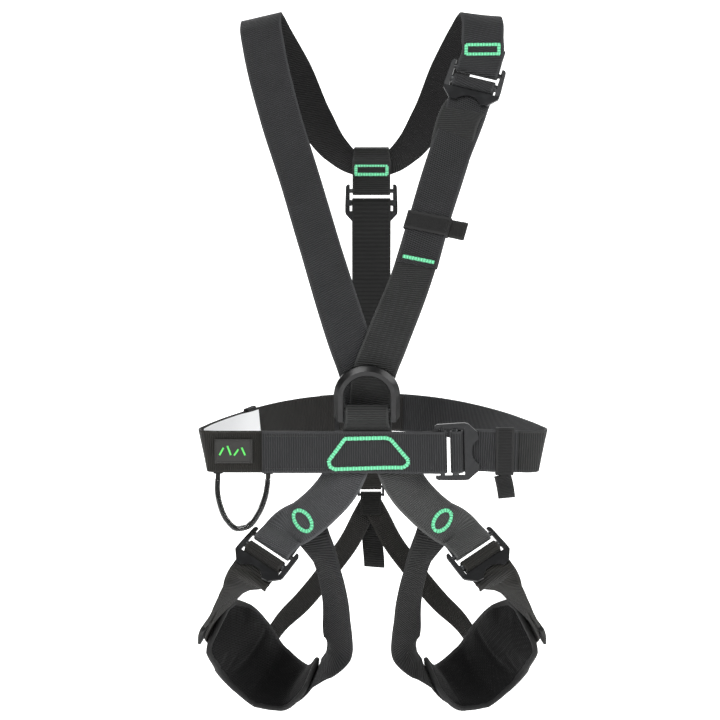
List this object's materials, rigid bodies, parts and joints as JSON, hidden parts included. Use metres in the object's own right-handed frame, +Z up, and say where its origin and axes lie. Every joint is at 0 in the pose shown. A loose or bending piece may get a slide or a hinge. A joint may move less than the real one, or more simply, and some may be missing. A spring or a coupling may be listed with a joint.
{
  "type": "tree climbing saddle",
  "caption": "Full-body tree climbing saddle: black webbing waist belt, shoulder straps with a rear yoke, padded leg loops, quick-adjust buckles and a ventral attachment ring",
  "frame": {"origin": "centre of the waist belt's loop at belt mid-height, where the wearer's waist is held", "axes": "+Z up along the wearer's spine, -Y to the wearer's front, +X to the right seen from the front (the wearer's left)"},
  "size_m": [0.3838, 0.274, 0.7791],
  "materials": {
    "harness_webbing": "woven polyester, ribbed",
    "dark_webbing": "woven polyester, brownish black",
    "keeper_elastic": "woven elastic",
    "pad_fabric": "padded spacer fabric with bound edge",
    "contrast_thread": "satin stitched thread, mint green",
    "white_label": "smooth woven label",
    "dark_patch": "moulded badge",
    "ring_metal": "anodised, satin black and grey",
    "buckle_metal": "dark coated steel",
    "bar_metal": "dark coated steel",
    "clear_tube": "clear flexible tube",
    "inner_cord": "braided cord"
  },
  "bodies": {
    "harness": {"front_belt": "harness_webbing", "waist_strap_left": "dark_webbing", "waist_strap_right": "dark_webbing", "back_overlap_patch": "dark_webbing", "inner_label": "white_label", "name_patch": "dark_patch", "side_keeper": "keeper_elastic", "belt_stitching": "contrast_thread", "ring_saddle": "harness_webbing", "waist_buckle_frame": "buckle_metal", "shoulder_strap_long": "harness_webbing", "shoulder_strap_front_right": "harness_webbing", "shoulder_stitching": "contrast_thread", "strap_end_stitching": "contrast_thread", "shoulder_buckle_frame": "buckle_metal", "back_yoke_loop": "harness_webbing", "yoke_stitching": "contrast_thread", "back_strap": "harness_webbing", "back_buckle_frame": "buckle_metal", "leg_strap_left": "harness_webbing", "leg_strap_right": "harness_webbing", "leg_stitching_left": "contrast_thread", "leg_stitching_right": "contrast_thread", "leg_buckle_frame_left": "buckle_metal", "leg_buckle_frame_right": "buckle_metal", "thigh_adjuster_left": "dark_webbing", "thigh_adjuster_right": "dark_webbing", "thigh_strap_left": "harness_webbing", "thigh_strap_right": "harness_webbing", "thigh_pad_left": "pad_fabric", "thigh_pad_right": "pad_fabric", "pad_tail_loop_left": "dark_webbing", "pad_tail_loop_right": "dark_webbing", "riser_centre": "dark_webbing", "riser_link": "buckle_metal", "riser_left": "dark_webbing", "riser_right": "dark_webbing", "riser_tail": "dark_webbing", "gear_loop_tabs": "dark_webbing"},
    "ventral_ring": {"ventral_ring": "ring_metal"},
    "waist_slide_bar": {"waist_slide_bar": "bar_metal"},
    "shoulder_slide_bar": {"shoulder_slide_bar": "bar_metal"},
    "back_slide_bar": {"back_slide_bar": "bar_metal"},
    "leg_slide_bar_left": {"leg_slide_bar_left": "bar_metal"},
    "leg_slide_bar_right": {"leg_slide_bar_right": "bar_metal"},
    "waist_keeper": {"waist_keeper": "keeper_elastic", "waist_keeper_tail": "keeper_elastic"},
    "shoulder_keeper": {"shoulder_keeper": "keeper_elastic"},
    "gear_loop": {"gear_loop_tube": "clear_tube", "gear_loop_cord": "inner_cord"}
  },
  "joints": [
    {"name": "ring_swing", "type": "hinge", "parent": "harness", "child": "ventral_ring", "pos_m": [-0.006, -0.112, 0.046], "axis": [1, 0, 0], "range_deg": [0, 90]},
    {"name": "waist_slide_bar_slide", "type": "slide", "parent": "harness", "child": "waist_slide_bar", "axis": [0.9996, 0, 0.03], "range_m": [0, 0.0025]},
    {"name": "shoulder_slide_bar_slide", "type": "slide", "parent": "harness", "child": "shoulder_slide_bar", "axis": [-0.2907, -0.3709, -0.882], "range_m": [0, 0.0025]},
    {"name": "back_slide_bar_slide", "type": "slide", "parent": "harness", "child": "back_slide_bar", "axis": [0, 0, -1], "range_m": [0, 0.0025]},
    {"name": "leg_slide_bar_left_slide", "type": "slide", "parent": "harness", "child": "leg_slide_bar_left", "axis": [-0.574, -0.574, -0.584], "range_m": [0, 0.0025]},
    {"name": "leg_slide_bar_right_slide", "type": "slide", "parent": "harness", "child": "leg_slide_bar_right", "axis": [0.574, -0.574, -0.584], "range_m": [0, 0.0025]},
    {"name": "waist_keeper_slide", "type": "slide", "parent": "harness", "child": "waist_keeper", "axis": [1, 0, 0], "range_m": [-0.008, 0.008]},
    {"name": "shoulder_keeper_slide", "type": "slide", "parent": "harness", "child": "shoulder_keeper", "axis": [-0.2813, -0.3215, -0.9042], "range_m": [-0.008, 0.008]},
    {"name": "gear_loop_swing", "type": "hinge", "parent": "harness", "child": "gear_loop", "pos_m": [-0.1365, -0.1035, -0.0295], "axis": [-1, 0, 0], "range_deg": [-15, 80]}
  ]
}
